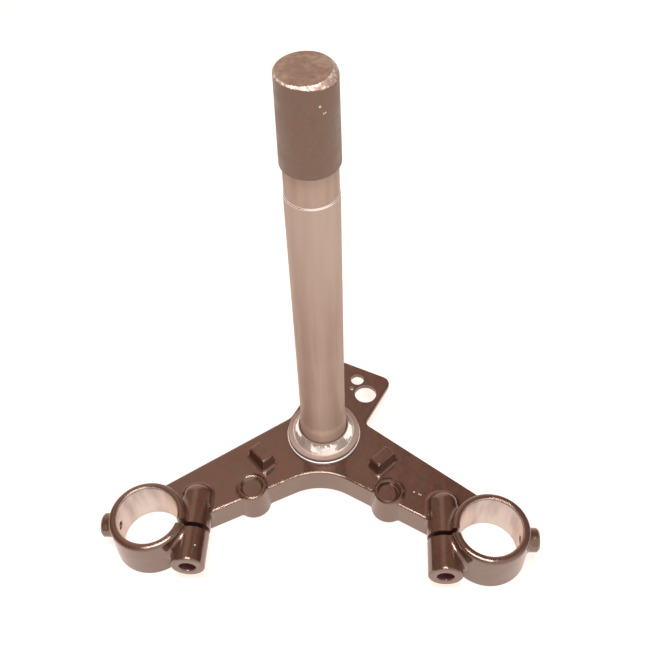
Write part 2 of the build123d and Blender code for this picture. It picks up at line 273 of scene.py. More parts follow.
class ConeSettings(bpy.types.PropertyGroup):
    """Shape and steel of the bearing cone and the dust seal."""
    shelf: size_setting("Shelf", "Width of the flange outside the ball track", 0.0029)
    rim_height: size_setting("Rim height", "Height of the flange's rim", 0.0026)
    rim_edge: size_setting("Rim edge", "Radius of the flange's upper edge", 0.0004)
    under_edge: size_setting("Lower edge", "Radius of the flange's lower edge", 0.0002)
    hollow: size_setting("Hollow", "Length of the hollow at the track's foot, along each side", 0.0012)
    lip: size_setting("Lip", "Width of the lip round the stem", 0.0011)
    lip_edge: size_setting("Lip edge", "Radius of the lip's outer edge", 0.0001)
    mouth: size_setting("Mouth", "Chamfer at the top of the bore", 0.0006)
    # The oil film is a painted reflection: a darker, duller toothed band that shapes the edge of the track's
    # bright front
    dark_band_rise: size_setting("Film height", "Lowest height of the oil film above the track's foot", 0.0038)
    dark_band_teeth: size_setting("Film teeth", "Height of the teeth at the edge of the oil film", 0.0022)
    dark_band_y: size_setting("Film side", "Distance of the oil film from the stem's axis, forwards", 0.0105)
    seal_edge: size_setting("Seal edge", "Radius of the seal's edges", 0.00045)
    around: count_setting("Segments", "Segments round the cone and the seal", 160)
    steel: colour_setting("Steel", "Colour of the polished steel", (0.97, 0.93, 0.90))
    flange: colour_setting("Flange", "Colour of the duller flange", (0.325, 0.248, 0.200))
    # The dark colour at the stem and at the foot of the rim is painted shade in the gaps between the parts
    gap_shade: colour_setting("Dirt", "Colour of the dirt round the stem", (0.05, 0.035, 0.03))
    track_roughness: share_setting("Track roughness", "Roughness of the ball track", 0.12)
    flange_roughness: share_setting("Flange roughness", "Roughness of the flange", 0.5)
    track_metal: share_setting("Track metal", "How metallic the ball track looks", 0.75)
    flange_metal: share_setting("Flange metal", "How metallic the flange looks", 0.25)
    seal: colour_setting("Seal", "Colour of the seal's bright edge", (0.97, 0.95, 0.95))
    seal_dull: share_setting("Seal scratches", "Brightness of the seal's scratches", 0.85)
    seal_roughness: share_setting("Seal roughness", "Roughness of the seal", 0.28)
    seal_metal: share_setting("Seal metal", "How metallic the seal looks", 0.3)


class CapSettings(bpy.types.PropertyGroup):
    """Shape and plastic of the cap on the stem's end."""
    end_radius: size_setting("End radius", "Radius of the stem's end inside the cap", 0.0121)
    stem_top: size_setting("Stem top", "Height of the end of the stem", STEM_HIGH.z)
    taper: size_setting("Taper", "How much the radius shrinks from the mouth to the crown", 0.0005)
    rim: size_setting("Rim", "Chamfer of the rim where it is least worn", 0.0006)
    worn_rim: size_setting("Worn rim", "Chamfer of the rim where it is most worn", 0.0026)
    worn_side: angle_setting("Worn side", "Direction of the most worn part of the rim", -18.0)
    nicks: share_setting("Nicks", "How much deeper the small nicks in front are cut", 0.22)
    rim_ease: share_setting("Rim ease", "Radius of the rim's edges, as a share of its chamfer", 0.3)
    rim_margin: size_setting("Rim margin", "Width of the even strip beside the rim's edges", 0.0003)
    wear_fade: size_setting("Wear fade", "Distance from the rim over which the wear ends", 0.00015)
    inner_edge: size_setting("Inner edge", "Radius of the mouth's inner edge", 0.0003)
    outer_edge: size_setting("Outer edge", "Radius of the mouth's outer edge", 0.0004)
    around: count_setting("Segments", "Segments round the cap", 240)
    side: colour_setting("Side", "Colour of the darker clouds on the side", (0.014, 0.012, 0.008))
    side_light: colour_setting("Light side", "Colour of the paler clouds", (0.100, 0.046, 0.032))
    # The paler top and the dark side are a lit and a shaded copy of the plastic: the top's colour is painted
    # light
    top: colour_setting("Top", "Colour of the paler top", (0.178, 0.134, 0.101))
    grit: colour_setting("Grit", "Colour of the fine specks in the plastic", (0.048, 0.046, 0.034))
    # The worn colour is lighter partly as painted light on the chamfer that faces the light; the scuffs' pale
    # flecks and dots are partly painted highlights
    worn: colour_setting("Worn plastic", "Colour of the plastic where the rim is worn", (0.45, 0.34, 0.28))
    scuff_and_glint: colour_setting("Scuffs", "Colour of the flecks on the rim and of the chips", (0.85, 0.80, 0.76))
    tint: colour_setting("Sheen", "Tint of the reflections in the plastic", (1.0, 0.73, 0.58))
    index: number_setting("Gloss", "Index of refraction of the plastic", 2.3)
    roughness: share_setting("Roughness", "Roughness of the plastic", 0.36)


class StageSettings(bpy.types.PropertyGroup):
    """Floor, lamp, room and camera."""
    floor_radius: size_setting("Floor radius", "Radius of the pale floor", 4.0)
    floor_drop: size_setting("Floor drop", "Distance of the floor below the object", 0.0001)
    floor_around: count_setting("Floor segments", "Segments round the floor", 96)
    floor: colour_setting("Floor", "Colour of the floor's paper", (0.36, 0.36, 0.36))
    glow: colour_setting("Floor white", "White that the floor shows to the camera", (0.93, 0.79, 0.73))
    shade: colour_setting("Shade", "Colour of the dark side of the room", (0.05, 0.03, 0.025))
    room: colour_setting("Room", "Colour of the room overhead", (0.34, 0.175, 0.135))
    ceiling_light: colour_setting("Ceiling light", "Colour of the glow high at the back", (0.70, 0.50, 0.42))
    back_light: colour_setting("Back light", "Colour of the glow low at the back", (0.95, 0.78, 0.68))
    front_light: colour_setting("Front light", "Colour of the glow at the front right", (1.0, 0.9, 0.84))
    key_power: FloatProperty(name="Key power", description="Power of the softbox", default=8.6,
                             min=0.0, unit="POWER")
    key_colour: colour_setting("Key colour", "Colour of the softbox", (1.0, 0.97, 0.95))
    key_at: place_setting("Key", "Place of the softbox, high above the front", (-0.02, -0.14, 1.04))
    key_aim: place_setting("Key aim", "Point that the softbox faces", (0.0, -0.03, 0.03))
    key_width: size_setting("Key width", "Width of the softbox", 0.48)
    key_depth: size_setting("Key depth", "Depth of the softbox", 0.30)
    lens: FloatProperty(name="Lens", description="Focal length of the camera", default=49.49,
                        min=1.0, unit="CAMERA")
    sensor: FloatProperty(name="Sensor", description="Width of the camera's sensor", default=36.0,
                          min=1.0, unit="CAMERA")
    near: size_setting("Near", "Distance from which the camera sees", 0.01)
    camera_at: place_setting("Camera", "Place of the camera", (0.0276, -0.2896, 0.4520))
    camera_aim: place_setting("Aim", "Point in the middle of the picture", (0.00211, 0.0, 0.11646))
    camera_roll: angle_setting("Roll", "How far the camera leans", 2.55)


class ClampSettings(bpy.types.PropertyGroup):
    """All settings of the triple clamp."""
    yoke: PointerProperty(name="Yoke", description="Settings of the cast yoke", type=YokeSettings)
    lump: PointerProperty(name="Lump", description="Settings of the right boss's lump", type=LumpSettings)
    stem: PointerProperty(name="Stem", description="Settings of the stem", type=StemSettings)
    cone: PointerProperty(name="Cone", description="Settings of the cone and the seal", type=ConeSettings)
    cap: PointerProperty(name="Cap", description="Settings of the cap", type=CapSettings)
    stage: PointerProperty(name="Stage", description="Settings of the studio", type=StageSettings)


# Surfaces

def eased_profile(corners, radii, steps=6):
    """Profile through corner points (radius, height) with each corner rounded.

    The arc of a corner is the quadratic curve a(1-s)^2 + 2cs(1-s) + bs^2 between the points a and b at
    the corner's radius on both legs, with the corner c as its control point.
    """
    corners = np.asarray(corners, float)
    radii = np.asarray(radii, float)[:, None]
    back = np.roll(corners, 1, axis=0) - corners
    ahead = np.roll(corners, -1, axis=0) - corners
    start = corners + back / np.maximum(np.linalg.norm(back, axis=1, keepdims=True), SAME_POINT) * radii
    end = corners + ahead / np.maximum(np.linalg.norm(ahead, axis=1, keepdims=True), SAME_POINT) * radii
    s = np.linspace(0.0, 1.0, steps)[None, :, None]
    arcs = start[:, None] * (1 - s) ** 2 + 2 * corners[:, None] * s * (1 - s) + end[:, None] * s ** 2
    points = arcs.reshape(-1, 2)
    apart = np.linalg.norm(points - np.roll(points, 1, axis=0), axis=1) > SAME_POINT
    return points[apart]


def full_turn(around):
    """The angles of the segments round a turned piece."""
    return np.linspace(0.0, 2 * np.pi, around, endpoint=False)


def next_round(rows):
    """Each row moved on by one segment."""
    return np.roll(rows, -1, axis=-1)


def turned_mesh(name, radius, height, around, poles=False):
    """Mesh of the surface (r cos t, r sin t, z), where r and z run over the stations and t over a full turn.

    The profile goes up the outside and down the inside, so that faces point outwards. It closes on itself,
    or with poles it starts and ends on the axis, where one point closes each end. radius and height hold
    one value for each station, or one for each station and angle.
    """
    t = full_turn(around)
    r, z = (np.broadcast_to(np.reshape(values, (len(values), -1)), (len(values), around))
            for values in (radius, height))
    grid = np.stack([r * np.cos(t), r * np.sin(t), z], axis=2)
    rings = grid[1:-1] if poles else grid
    index = np.arange(len(rings) * around).reshape(-1, around)
    below, above = (index[:-1], index[1:]) if poles else (index, np.roll(index, -1, axis=0))
    faces = np.stack([below, next_round(below), next_round(above), above], axis=-1).reshape(-1, 4).tolist()
    points = rings.reshape(-1, 3)
    if poles:
        first = np.full(around, len(points))
        points = np.concatenate([points, grid[:1, 0], grid[-1:, 0]])
        faces += np.stack([first, next_round(index[0]), index[0]], axis=1).tolist()
        faces += np.stack([first + 1, index[-1], next_round(index[-1])], axis=1).tolist()
    mesh = bpy.data.meshes.new(name)
    mesh.from_pydata(points.tolist(), [], faces)
    mesh.polygons.foreach_set("use_smooth", np.ones(len(mesh.polygons), bool))
    mesh.update()
    return mesh


def lump_mesh(given):
    """Mesh of the lump of casting in the dish of the right front boss.

    Its outline is the ellipse 1 / r^2 = (cos t / side)^2 + (sin t / length)^2 round the lump's top, with one
    length in front and one behind. At the share q of the outline's radius its height is foot + rise (1 - f),
    where f goes smoothly from 0 at the flat share to 1 at the outline. The flat share is larger in front, so
    that the top stays flat up to the rim.
    """
    t = full_turn(given.around)
    length = np.where(np.sin(t) > 0, given.back, given.front)
    outline = 1 / np.sqrt((np.cos(t) / given.side) ** 2 + (np.sin(t) / length) ** 2)
    q = np.linspace(1.0, 0.0, given.rings)[:, None]
    flat = given.flat + given.flat_front * np.clip(-np.sin(t), 0.0, 1.0)
    s = np.clip((q - flat) / (1 - flat), 0.0, 1.0)
    top = given.foot + given.rise * (1 - s * s * (3 - 2 * s))
    under = np.full((2, given.around), given.foot - given.sunk)
    radius = np.concatenate([np.zeros_like(outline)[None], outline[None], q * outline])
    mesh = turned_mesh("boss_lump", radius, np.concatenate([under, top]), given.around, poles=True)
    mesh.transform(Matrix.Translation((given.x, -given.y, 0.0)))
    return mesh


def cap_profile(given, cut):
    """Stations (radius, height) from the top of the inside, round the mouth and up to the crown.

    The corner of the crown is cut off by a chamfer of this size, whose edges are rounded. The stations for
    two sizes match one by one.
    """
    mouth, crown, top = CAP_HIGH.x, CAP_HIGH.x - given.taper, CAP_HIGH.z
    soft = given.rim_ease * cut
    far = cut + soft + given.rim_margin
    return eased_profile(
        [(0.0, given.stem_top), (given.end_radius, given.stem_top), (given.end_radius, CAP_LOW.z),
         (mouth, CAP_LOW.z), (crown, top - far), (crown, top - cut), (crown - cut, top),
         (crown - far, top), (0.0, top)],
        [0.0, 0.0, given.inner_edge, given.outer_edge, 0.0, soft, soft, 0.0, 0.0], steps=8)


def cap_mesh(given):
    """Mesh of the cap, with the wear of its rim as an attribute.

    At the angle t the rim is worn by the share (1/2 + 1/2 cos(t - worn side)) to a power, and more at the
    nicks, which are the positive part of a product of sine waves in front. Each station lies at that share
    of the way from the profile with the least worn rim to the one with the most worn rim. The wear is 1 on
    the rim's chamfer, fades to 0 beside it, and is halved away from the front. It sets a lighter colour and
    pale flecks, which are partly worn plastic and partly painted light and painted highlights.
    """
    t = full_turn(given.around)
    front = np.clip(-np.sin(t), 0.0, 1.0)
    waves = np.prod([np.sin(count * t + phase) for count, phase in NICK_WAVES], axis=0)
    nicks = np.clip(waves, 0.0, 1.0) * front
    share = np.clip((0.5 + 0.5 * np.cos(t - given.worn_side)) ** WORN_POWER + given.nicks * nicks, 0.0, 1.0)
    sharp, blunt = cap_profile(given, given.rim), cap_profile(given, given.worn_rim)
    points = sharp[:, None] + share[:, None] * (blunt - sharp)[:, None]
    radius, height = points[..., 0], points[..., 1]
    crown = CAP_HIGH.x - given.taper
    cut = given.rim + (given.worn_rim - given.rim) * share
    outside = np.maximum(np.maximum(CAP_HIGH.z - height, crown - radius) - cut, 0.0)
    wear_and_glint = np.clip(1 - outside / given.wear_fade, 0.0, 1.0) * (0.5 + 0.5 * front ** FRONT_GLINT_POWER)
    mesh = turned_mesh("cap_cup", radius, height, given.around, poles=True)
    mesh.attributes.new("wear_and_glint", "FLOAT", "POINT").data.foreach_set(
        "value", np.append(wear_and_glint[1:-1].ravel(), (0.0, 0.0)))
    return mesh


def place_piece(name, mesh, material, node):
    """Links the mesh as a piece, which stands for a CAD node if one is named."""
    piece = bpy.data.objects.new(name, mesh)
    bpy.context.scene.collection.objects.link(piece)
    mesh.materials.append(material)
    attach(piece, "root")
    if node:
        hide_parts(node)


# Shader nodes

def add(tree, kind, inputs=None, **settings):
    """A new node with its settings, and its inputs set to values or linked to other sockets."""
    node = tree.nodes.new(kind)
    for key, value in settings.items():
        setattr(node, key, value)
    for key, value in (inputs or {}).items():
        if isinstance(value, bpy.types.NodeSocket):
            tree.links.new(value, node.inputs[key])
        else:
            node.inputs[key].default_value = value
    return node


def calc(tree, operation, *values, clamp=False):
    """The result of a Math node."""
    node = add(tree, "ShaderNodeMath", dict(enumerate(values)), operation=operation, use_clamp=clamp)
    return node.outputs[0]


def plus(tree, first, second):
    """The sum of two values."""
    return calc(tree, "ADD", first, second)


def minus(tree, first, second):
    """The difference of two values."""
    return calc(tree, "SUBTRACT", first, second)


def times(tree, first, *others):
    """The product of two or more values."""
    for other in others:
        first = calc(tree, "MULTIPLY", first, other)
    return first


def below(tree, value, limit):
    """1 where the value is less than the limit, and 0 elsewhere."""
    return calc(tree, "LESS_THAN", value, limit)


def above(tree, value, limit):
    """1 where the value is more than the limit, and 0 elsewhere."""
    return calc(tree, "GREATER_THAN", value, limit)


def between(tree, mask, low, high):
    """The value that goes from low to high as the mask goes from 0 to 1."""
    return plus(tree, times(tree, mask, high - low), low)


def away(tree, first, second, first_at=0.0, second_at=0.0):
    """The distance from a straight axis, sqrt((first - first_at)^2 + (second - second_at)^2)."""
    legs = minus(tree, first, first_at), minus(tree, second, second_at)
    return calc(tree, "SQRT", plus(tree, *(times(tree, leg, leg) for leg in legs)))


def smooth_step(tree, value, low, high):
    """0 below low, 1 above high and a smooth rise between them."""
    return add(tree, "ShaderNodeMapRange", {"Value": value, "From Min": low, "From Max": high},
               interpolation_type="SMOOTHSTEP").outputs[0]


def fade(tree, value, start, ends):
    """A smooth rise between the two ends of a soft mask, counted from its start."""
    return smooth_step(tree, value, start + ends[0], start + ends[1])


def blend(tree, factor, first, second):
    """The colour between two colours, by the Mix node's sockets for colours: 6 and 7 in, and 2 out."""
    return add(tree, "ShaderNodeMix", {0: factor, 6: first, 7: second}, data_type="RGBA").outputs[2]


def bumped(tree, height, bump, normal=None):
    """The normal bent by a height, with a bump's strength and depth."""
    node = add(tree, "ShaderNodeBump", {"Height": height, "Strength": bump[0], "Distance": bump[1]})
    if normal is not None:
        tree.links.new(normal, node.inputs["Normal"])
    return node.outputs[0]


def new_group(name, inputs, outputs):
    """An empty shader node group, with its input and output sockets."""
    tree = bpy.data.node_groups.new(name, "ShaderNodeTree")
    for label, kind in inputs:
        tree.interface.new_socket(label, in_out="INPUT", socket_type=kind)
    for label, kind in outputs:
        tree.interface.new_socket(label, in_out="OUTPUT", socket_type=kind)
    return tree, tree.nodes.new("NodeGroupInput").outputs, tree.nodes.new("NodeGroupOutput").inputs


def blotches_group():
    """Group: soft blotches, as a noise pushed to a mask between two levels."""
    name = "Blotches"
    if name in bpy.data.node_groups:
        return bpy.data.node_groups[name]
    tree, given, put = new_group(name, [
        ("Vector", "NodeSocketVector"), ("Scale", "NodeSocketFloat"), ("Detail", "NodeSocketFloat"),
        ("Low", "NodeSocketFloat"), ("High", "NodeSocketFloat")], [("Mask", "NodeSocketFloat")])
    noise = add(tree, "ShaderNodeTexNoise", {key: given[key] for key in ("Vector", "Scale", "Detail")})
    tree.links.new(smooth_step(tree, noise.outputs[0], given["Low"], given["High"]), put["Mask"])
    return tree


def blotches(tree, point, pattern):
    """Mask of soft blotches after one of the noise patterns."""
    scale, detail, low, high, factors = PATTERNS[pattern]
    if factors != EVEN:
        point = add(tree, "ShaderNodeVectorMath", {0: point, 1: factors}, operation="MULTIPLY").outputs[0]
    sockets = {"Vector": point, "Scale": scale, "Detail": detail, "Low": low, "High": high}
    return add(tree, "ShaderNodeGroup", sockets, node_tree=blotches_group()).outputs["Mask"]


def dot_group():
    """Group: a round chip, 1 inside the radius round the centre, with a soft edge."""
    name = "Chip"
    if name in bpy.data.node_groups:
        return bpy.data.node_groups[name]
    tree, given, put = new_group(name, [
        ("Vector", "NodeSocketVector"), ("Centre", "NodeSocketVector"), ("Radius", "NodeSocketFloat")],
        [("Mask", "NodeSocketFloat")])
    off = add(tree, "ShaderNodeVectorMath", {0: given["Vector"], 1: given["Centre"]}, operation="DISTANCE")
    share = calc(tree, "DIVIDE", off.outputs["Value"], given["Radius"])
    tree.links.new(minus(tree, 1.0, smooth_step(tree, share, *DOT_FADE)), put["Mask"])
    return tree


def dotted(tree, point, dots):
    """Mask of the round chips, each given by its centre and radius."""
    mask = 0.0
    for centre, radius in dots:
        dot = add(tree, "ShaderNodeGroup", {"Vector": point, "Centre": centre, "Radius": radius},
                   node_tree=dot_group())
        mask = calc(tree, "MAXIMUM", mask, dot.outputs["Mask"])
    return mask


def new_material(name):
    """An empty material: its tree, its Principled shader and its Object coordinates."""
    material = bpy.data.materials.new(name)
    material.use_nodes = True
    tree = material.node_tree
    tree.nodes.clear()
    shader = tree.nodes.new("ShaderNodeBsdfPrincipled")
    add(tree, "ShaderNodeOutputMaterial", {"Surface": shader.outputs[0]})
    return material, tree, shader, tree.nodes.new("ShaderNodeTexCoord").outputs["Object"]


def feed(tree, shader, sockets):
    """Links values that change over the surface to the shader's sockets."""
    for name, value in sockets.items():
        tree.links.new(value, shader.inputs[name])


def split(tree, point):
    """The X, Y and Z of a point."""
    return add(tree, "ShaderNodeSeparateXYZ", {0: point}).outputs


def rgba(colour):
    """A colour setting as the four values of a socket."""
    return (*colour, 1.0)


# Materials

def paint_material(given):
    """Warm black gloss paint with a faint orange peel, and bare metal in the fork bores."""
    material, tree, shader, point = new_material(PAINT_NAME)
    x, y, z = split(tree, point)
    side = calc(tree, "ABSOLUTE", x)
    ahead = minus(tree, 0.0, y)

    # Paint, paler in the pinch holes, with pale dots that are partly chips and partly painted glints, and
    # bare bores
    mottle = blotches(tree, point, "paint_mottle")
    paint = blend(tree, mottle, rgba(given.paint_dark), rgba(given.paint_light))
    paint = blend(tree, blotches(tree, point, "paint_grit"), paint, rgba(given.paint_grit))
    # Paler colour inside the pinch holes
    from_hole = away(tree, side, z, given.hole_x, given.hole_z)
    in_hole = times(tree, below(tree, from_hole, given.hole_radius), above(tree, ahead, given.hole_depth))
    paint = blend(tree, in_hole, paint, rgba(given.hole_paler))
    paint = blend(tree, dotted(tree, point, PAINT_CHIPS_AND_GLINTS), paint, rgba(given.primer_and_glint))
    from_axis = away(tree, side, ahead, given.fork_x, given.fork_y)
    bare = below(tree, from_axis, given.bore_radius)
    bore = blend(tree, blotches(tree, point, "bore_streaks"), rgba(given.bore_light), rgba(given.bore_dark))
    sheen = plus(tree, times(tree, mottle, MOTTLE_ROUGHNESS), given.paint_roughness)

    # Edges eased by the paint, except on the tab, at the slits and in the dishes
    from_slit = calc(tree, "ABSOLUTE", minus(tree, ahead, given.slit_y))
    off_slit = calc(tree, "MAXIMUM", above(tree, from_slit, given.slit_reach),
                    above(tree, side, given.slit_x))
    sharp = plus(tree, times(tree, above(tree, x, 0.0), given.sharp_reach), given.dish_radius)
    off_dish = above(tree, away(tree, side, ahead, given.dish_x, given.dish_y), sharp)
    easing = times(tree, below(tree, y, given.tab_y), off_slit, off_dish, given.edge_radius)
    rounded = add(tree, "ShaderNodeBevel", {"Radius": easing}, samples=EDGE_SAMPLES).outputs[0]

    # Rounded mouths of the bores under the orange peel
    inside = calc(tree, "MAXIMUM", minus(tree, given.mouth_radius, from_axis), 0.0)
    mouth = bumped(tree, times(tree, inside, inside, -given.mouth_curve), MOUTH_BUMP, rounded)
    peel = times(tree, blotches(tree, point, "paint_peel"), PEEL_SHARE)
    skin = plus(tree, peel, blotches(tree, point, "paint_waves"))

    feed(tree, shader, {
        "Base Color": blend(tree, bare, paint, bore),
        "Roughness": plus(tree, sheen, times(tree, bare, given.bore_roughness)),
        "Metallic": times(tree, bare, given.bore_metal),
        "Normal": bumped(tree, skin, PAINT_BUMP, mouth)})
    shader.inputs["IOR"].default_value = given.paint_index
    shader.inputs["Specular Tint"].default_value = rgba(given.paint_tint)
    return material


def stem_material(given):
    """Satin steel with streaks, paler towards the top, turning marks, and a bare step whitened as a painted
    highlight.
    """
    material, tree, shader, point = new_material("stem_satin_steel")
    height = split(tree, point)[2]
    streaks = blotches(tree, point, "stem_streaks")
    stains = times(tree, plus(tree, streaks, blotches(tree, point, "stem_clouds")), STAIN_SHARE)
    steel = blend(tree, stains, rgba(given.steel), rgba(given.stain))
    # Paler towards the top of the stem
    paler_mask = times(tree, smooth_step(tree, height, given.paler_start, given.paler_full),
                  below(tree, height, given.end_height))
    steel = blend(tree, paler_mask, steel, rgba(given.paler_high_steel))
    # Bare step: a polished edge, and its near-white colour is partly a painted highlight
    neck = given.radius - given.end_radius
    off_step = calc(tree, "ABSOLUTE", minus(tree, height, given.end_height - neck / 2))
    step = below(tree, off_step, neck)
    satin = plus(tree, times(tree, streaks, STREAK_ROUGHNESS), given.roughness)
    feed(tree, shader, {
        "Base Color": blend(tree, step, steel, rgba(given.bright)),
        "Roughness": minus(tree, satin, times(tree, step, given.step_polish)),
        "Metallic": between(tree, step, given.metal, given.step_metal),
        "Normal": bumped(tree, blotches(tree, point, "turning_marks"), STEM_BUMP)})
    return material


def cone_material(given, seat):
    """Polished track and dull flange, with a painted reflection band in front and painted shade in the gaps.
    """
    material, tree, shader, point = new_material("cone_polished_steel")
    x, y, z = split(tree, point)
    from_axis = away(tree, x, y)
    foot = CONE_LOW.z + given.rim_height
    # Painted reflection: a darker, duller band with a toothed edge above the bright front of the track
    teeth = times(tree, blotches(tree, point, "dark_band_teeth"), given.dark_band_teeth)
    over_edge = minus(tree, z, plus(tree, teeth, foot + given.dark_band_rise))
    film = times(tree, fade(tree, over_edge, 0.0, DARK_BAND_FADE),
                 fade(tree, minus(tree, 0.0, y), given.dark_band_y, DARK_BAND_SIDE_FADE))
    track = times(tree, fade(tree, z, foot, TRACK_FADE), fade(tree, from_axis, seat + given.lip, LIP_FADE),
                  minus(tree, 1.0, times(tree, film, DARK_BAND_SHARE)))
    # Painted shade: the colour goes dark in the gaps at the stem and at the foot of the rim
    paler_mask = times(tree, fade(tree, from_axis, seat, SEAT_SHADE_FADE), fade(tree, z, CONE_LOW.z, UNDER_SHADE_FADE))
    steel = blend(tree, track, rgba(given.flange), rgba(given.steel))
    smears = times(tree, blotches(tree, point, "cone_smears"), SMEAR_ROUGHNESS)
    feed(tree, shader, {
        "Base Color": blend(tree, paler_mask, rgba(given.gap_shade), steel),
        "Roughness": plus(tree, between(tree, track, given.flange_roughness, given.track_roughness), smears),
        "Metallic": times(tree, between(tree, track, given.flange_metal, given.track_metal), paler_mask),
        "Normal": bumped(tree, blotches(tree, point, "cone_streaks"), CONE_BUMP)})
    return material


def seal_material(given):
    """Bright thin washer with fine scratches."""
    material, tree, shader, point = new_material("seal_bright_steel")
    scratch = blotches(tree, point, "seal_scratches")
    dulled = tuple(given.seal_dull * value for value in given.seal)
    feed(tree, shader, {
        "Base Color": blend(tree, scratch, rgba(given.seal), rgba(dulled)),
        "Roughness": plus(tree, times(tree, scratch, SCRATCH_ROUGHNESS), given.seal_roughness)})
    shader.inputs["Metallic"].default_value = given.seal_metal
    return material


def cap_material(given):
    """Dark cloudy plastic with painted light on the paler top, and a worn rim whose pale marks are partly
    glints.
    """
    material, tree, shader, point = new_material("cap_dull_plastic")
    # Painted light: the top is paler than the side, as if lit from above
    top = fade(tree, split(tree, point)[2], CAP_HIGH.z, CAP_LIT_TOP_FADE)
    base = blend(tree, top, rgba(given.side), rgba(given.top))
    clouds = blotches(tree, point, "cap_clouds")
    base = blend(tree, times(tree, clouds, CLOUD_SHARE), base, rgba(given.side_light))
    specks = times(tree, blotches(tree, point, "cap_specks"), SPECK_SHARE)
    base = blend(tree, specks, base, rgba(given.grit))
    # Worn rim, lighter partly as painted light, with pale flecks and dots that are partly painted highlights
    wear_and_glint = add(tree, "ShaderNodeAttribute", attribute_name="wear_and_glint").outputs["Fac"]
    base = blend(tree, wear_and_glint, base, rgba(given.worn))
    flecks = times(tree, smooth_step(tree, wear_and_glint, *FLECK_FADE), blotches(tree, point, "rim_flecks"))
    scuffs_and_glints = calc(tree, "MAXIMUM", flecks, dotted(tree, point, CAP_CHIPS_AND_GLINTS))
    feed(tree, shader, {
        "Base Color": blend(tree, scuffs_and_glints, base, rgba(given.scuff_and_glint)),
        "Roughness": plus(tree, times(tree, clouds, CLOUD_ROUGHNESS), given.roughness),
        "Normal": bumped(tree, blotches(tree, point, "cap_grain"), CAP_BUMP)})
    shader.inputs["IOR"].default_value = given.index
    shader.inputs["Specular Tint"].default_value = rgba(given.tint)
    return material


def floor_material(given):
    """Pale paper that shows white to the camera and in reflections, and keeps the shadow of the object."""
    material = bpy.data.materials.new("studio_floor")
    material.use_nodes = True
    tree = material.node_tree
    tree.nodes.clear()
    rays = tree.nodes.new("ShaderNodeLightPath").outputs
    seen = calc(tree, "ADD", plus(tree, rays["Is Camera Ray"], rays["Is Glossy Ray"]),
                rays["Is Transmission Ray"], clamp=True)
    paper = add(tree, "ShaderNodeBsdfDiffuse", {"Color": rgba(given.floor)})
    glow = add(tree, "ShaderNodeEmission", {"Color": rgba(given.glow), "Strength": seen})
    both = add(tree, "ShaderNodeAddShader", {0: paper.outputs[0], 1: glow.outputs[0]})
    add(tree, "ShaderNodeOutputMaterial", {"Surface": both.outputs[0]})
    return material


# Stage

def lay_floor(given):
    """Lays a round sheet, whose rim is (r cos t, r sin t), just below the object."""
    t = full_turn(given.floor_around)
    rim = np.stack([given.floor_radius * np.cos(t), given.floor_radius * np.sin(t),
                    np.full_like(t, -given.floor_drop)], axis=1)
    mesh = bpy.data.meshes.new("floor_sheet")
    mesh.from_pydata(rim.tolist(), [], [list(range(len(rim)))])
    mesh.materials.append(floor_material(given))
    floor = bpy.data.objects.new("floor_sheet", mesh)
    bpy.context.scene.collection.objects.link(floor)


def hang_softbox(given):
    """Hangs a rectangular softbox that faces a point."""
    lamp = bpy.data.lights.new("key_softbox", "AREA")
    lamp.shape = "RECTANGLE"
    lamp.size, lamp.size_y = given.key_width, given.key_depth
    lamp.energy = given.key_power
    lamp.color = given.key_colour
    holder = bpy.data.objects.new("key_softbox", lamp)
    holder.location = given.key_at
    holder.rotation_euler = (Vector(given.key_aim) - Vector(given.key_at)).to_track_quat("-Z", "Y").to_euler()
    bpy.context.scene.collection.objects.link(holder)


def dim_room(given):
    """A dark room with a soft glow in each of a few directions."""
    world = bpy.data.worlds.new("dim_room")
    world.use_nodes = True
    tree = world.node_tree
    tree.nodes.clear()
    direction = tree.nodes.new("ShaderNodeTexCoord").outputs["Generated"]
    colour = rgba(given.shade)
    for setting, centre, start, full in GLOWS:
        towards = add(tree, "ShaderNodeVectorMath", {0: direction, 1: centre}, operation="DOT_PRODUCT")
        glow = smooth_step(tree, towards.outputs["Value"], start, full)
        colour = blend(tree, glow, colour, rgba(getattr(given, setting)))
    light = add(tree, "ShaderNodeBackground", {"Color": colour, "Strength": 1.0})
    add(tree, "ShaderNodeOutputWorld", {"Surface": light.outputs[0]})
    return world


def aimed_camera(given):
    """A camera that looks at a point and leans by the roll angle."""
    data = bpy.data.cameras.new("photo_camera")
    data.lens = given.lens
    data.sensor_width = given.sensor
    data.clip_start = given.near
    ahead = (Vector(given.camera_aim) - Vector(given.camera_at)).normalized()
    right = ahead.cross(Vector((0.0, 0.0, 1.0))).normalized()
    down = ahead.cross(right)
    lean = given.camera_roll
    across = right * cos(lean) + down * sin(lean)
    up = right * sin(lean) - down * cos(lean)
    camera = bpy.data.objects.new("photo_camera", data)
    axes = Matrix((across, up, -ahead)).transposed()
    camera.matrix_world = Matrix.Translation(Vector(given.camera_at)) @ axes.to_4x4()
    bpy.context.scene.collection.objects.link(camera)
    return camera


# Operators

class CLAMP_OT_yoke(bpy.types.Operator):
    """Paints the cast yoke and leaves its fork bores bare"""
    bl_idname = "clamp.yoke"
    bl_label = "Paint Yoke"

    def execute(self, context):
        material = paint_material(context.scene.clamp.yoke)
        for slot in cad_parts["lower_yoke"].material_slots:
            slot.material = material
        return {"FINISHED"}


class CLAMP_OT_lump(bpy.types.Operator):
    """Adds the lump in the dish of the right front boss, in the paint of the yoke"""
    bl_idname = "clamp.lump"
    bl_label = "Add Lump"

    def execute(self, context):
        mesh = lump_mesh(context.scene.clamp.lump)
        place_piece("boss_lump", mesh, bpy.data.materials[PAINT_NAME], None)
        return {"FINISHED"}


